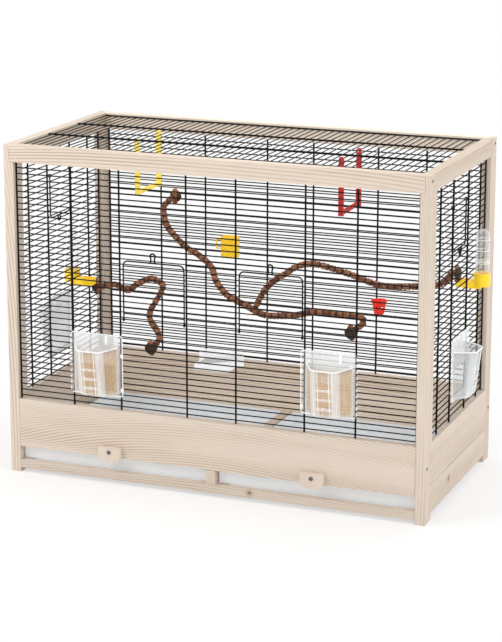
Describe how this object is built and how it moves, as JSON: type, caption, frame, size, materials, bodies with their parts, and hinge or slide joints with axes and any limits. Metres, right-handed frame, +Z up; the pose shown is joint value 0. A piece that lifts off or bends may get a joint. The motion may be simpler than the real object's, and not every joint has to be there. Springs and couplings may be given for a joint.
{
  "type": "bird cage",
  "caption": "Wooden-framed wire bird cage with hinged wire doors, swivelling clear feeders, clip-on drinkers, bark perches, swings and pull-out trays locked by turn buttons.",
  "frame": {"origin": "middle of the outline's footprint, at the feet's undersides", "axes": "+X to the cage's right as seen from the front, along its longest side; +Y to the rear; +Z up"},
  "size_m": [0.8796, 0.4448, 0.622],
  "materials": {
    "pale_wood": "oiled, pale birch or pine",
    "black_wire": "black coating, satin",
    "clear_plastic": "clear, glossy",
    "yellow_plastic": "glossy",
    "red_plastic": "glossy",
    "grey_plastic": "satin",
    "screw_steel": "zinc plated",
    "bark_brown": "moulded bark texture"
  },
  "bodies": {
    "cage_frame": {"post_front_left": "pale_wood", "post_front_right": "pale_wood", "post_rear_left": "pale_wood", "post_rear_right": "pale_wood", "rail_top_front": "pale_wood", "rail_top_rear": "pale_wood", "rail_top_left": "pale_wood", "rail_top_right": "pale_wood", "rail_bottom_front": "pale_wood", "board_front_upper": "pale_wood", "board_rear_upper": "pale_wood", "board_rear_lower": "pale_wood", "board_left_upper": "pale_wood", "board_left_lower": "pale_wood", "board_right_upper": "pale_wood", "board_right_lower": "pale_wood", "tray_divider": "pale_wood", "tray_runner_left": "pale_wood", "tray_runner_right": "pale_wood", "screw_left_front_top": "screw_steel", "screw_left_front_low": "screw_steel", "screw_left_rear_top": "screw_steel", "screw_left_rear_low": "screw_steel", "screw_right_front_top": "screw_steel", "screw_right_front_low": "screw_steel", "screw_right_rear_top": "screw_steel", "screw_right_rear_low": "screw_steel", "turn_button_screw_left": "screw_steel", "turn_button_screw_right": "screw_steel", "grille_front": "black_wire", "grille_rear": "black_wire", "grille_left": "black_wire", "grille_right": "black_wire", "grille_roof": "black_wire", "perch_knob_rear": "bark_brown", "perch_knob_right": "bark_brown", "perch_knob_left": "bark_brown", "perch_long": "bark_brown", "perch_short": "bark_brown", "treat_holder_yellow": "yellow_plastic", "treat_cup_red": "red_plastic", "rear_ledge_tray": "clear_plastic"},
    "tray_left": {"tray_left": "grey_plastic"},
    "tray_right": {"tray_right": "grey_plastic"},
    "turn_button_left": {"turn_button_left": "pale_wood"},
    "turn_button_right": {"turn_button_right": "pale_wood"},
    "door_front_left": {"door_front_left": "black_wire"},
    "door_front_right": {"door_front_right": "black_wire"},
    "door_side_left": {"door_side_left": "black_wire"},
    "door_side_right": {"door_side_right": "black_wire"},
    "feeder_front_left": {"feeder_front_left": "clear_plastic"},
    "feeder_front_right": {"feeder_front_right": "clear_plastic"},
    "feeder_side_left": {"feeder_side_left": "clear_plastic"},
    "feeder_side_right": {"feeder_side_right": "clear_plastic"},
    "drinker_base_left": {"drinker_base_left": "yellow_plastic"},
    "drinker_base_right": {"drinker_base_right": "yellow_plastic"},
    "drinker_tube_left": {"drinker_tube_left": "clear_plastic"},
    "drinker_tube_right": {"drinker_tube_right": "clear_plastic"},
    "swing_yellow": {"swing_yellow": "yellow_plastic"},
    "swing_red": {"swing_red": "red_plastic"}
  },
  "joints": [
    {"name": "tray_left_slide", "type": "slide", "parent": "cage_frame", "child": "tray_left", "axis": [0, -1, 0], "range_m": [0, 0.36]},
    {"name": "turn_button_left_turn", "type": "hinge", "parent": "cage_frame", "child": "turn_button_left", "pos_m": [-0.1975, -0.18788, 0.064], "axis": [0, -1, 0], "range_deg": [-90, 90]},
    {"name": "tray_right_slide", "type": "slide", "parent": "cage_frame", "child": "tray_right", "axis": [0, -1, 0], "range_m": [0, 0.36]},
    {"name": "turn_button_right_turn", "type": "hinge", "parent": "cage_frame", "child": "turn_button_right", "pos_m": [0.1975, -0.18788, 0.064], "axis": [0, -1, 0], "range_deg": [-90, 90]},
    {"name": "door_front_left_hinge", "type": "hinge", "parent": "cage_frame", "child": "door_front_left", "pos_m": [-0.11275, -0.17858, 0.31454], "axis": [1, 0, 0], "range_deg": [0, 120]},
    {"name": "door_front_right_hinge", "type": "hinge", "parent": "cage_frame", "child": "door_front_right", "pos_m": [0.11275, -0.17858, 0.31454], "axis": [1, 0, 0], "range_deg": [0, 120]},
    {"name": "door_side_left_hinge", "type": "hinge", "parent": "cage_frame", "child": "door_side_left", "pos_m": [-0.396, 0.01742, 0.53526], "axis": [0, 1, 0], "range_deg": [0, 110]},
    {"name": "door_side_right_hinge", "type": "hinge", "parent": "cage_frame", "child": "door_side_right", "pos_m": [0.396, 0.01742, 0.53526], "axis": [0, -1, 0], "range_deg": [0, 110]},
    {"name": "feeder_front_left_hinge", "type": "hinge", "parent": "cage_frame", "child": "feeder_front_left", "pos_m": [-0.2735, -0.18158, 0.17107], "axis": [0, 0, -1], "range_deg": [0, 90]},
    {"name": "feeder_front_right_hinge", "type": "hinge", "parent": "cage_frame", "child": "feeder_front_right", "pos_m": [0.2735, -0.18158, 0.18211], "axis": [0, 0, 1], "range_deg": [0, 90]},
    {"name": "feeder_side_left_hinge", "type": "hinge", "parent": "cage_frame", "child": "feeder_side_left", "pos_m": [-0.399, -0.03008, 0.18211], "axis": [0, 0, 1], "range_deg": [0, 90]},
    {"name": "feeder_side_right_hinge", "type": "hinge", "parent": "cage_frame", "child": "feeder_side_right", "pos_m": [0.399, -0.03008, 0.18211], "axis": [0, 0, -1], "range_deg": [0, 90]},
    {"name": "drinker_left_unclip", "type": "slide", "parent": "cage_frame", "child": "drinker_base_left", "axis": [-1, 0, 0], "range_m": [0, 0.045]},
    {"name": "drinker_left_tube_lift", "type": "slide", "parent": "drinker_base_left", "child": "drinker_tube_left", "axis": [0, 0, 1], "range_m": [0, 0.035]},
    {"name": "drinker_right_unclip", "type": "slide", "parent": "cage_frame", "child": "drinker_base_right", "axis": [1, 0, 0], "range_m": [0, 0.045]},
    {"name": "drinker_right_tube_lift", "type": "slide", "parent": "drinker_base_right", "child": "drinker_tube_right", "axis": [0, 0, 1], "range_m": [0, 0.035]},
    {"name": "swing_yellow_swing", "type": "hinge", "parent": "cage_frame", "child": "swing_yellow", "pos_m": [-0.20561, 0.00742, 0.617], "axis": [0, 1, 0], "range_deg": [-55, 55]},
    {"name": "swing_red_swing", "type": "hinge", "parent": "cage_frame", "child": "swing_red", "pos_m": [0.20561, -0.02758, 0.617], "axis": [0, 1, 0], "range_deg": [-55, 55]}
  ]
}
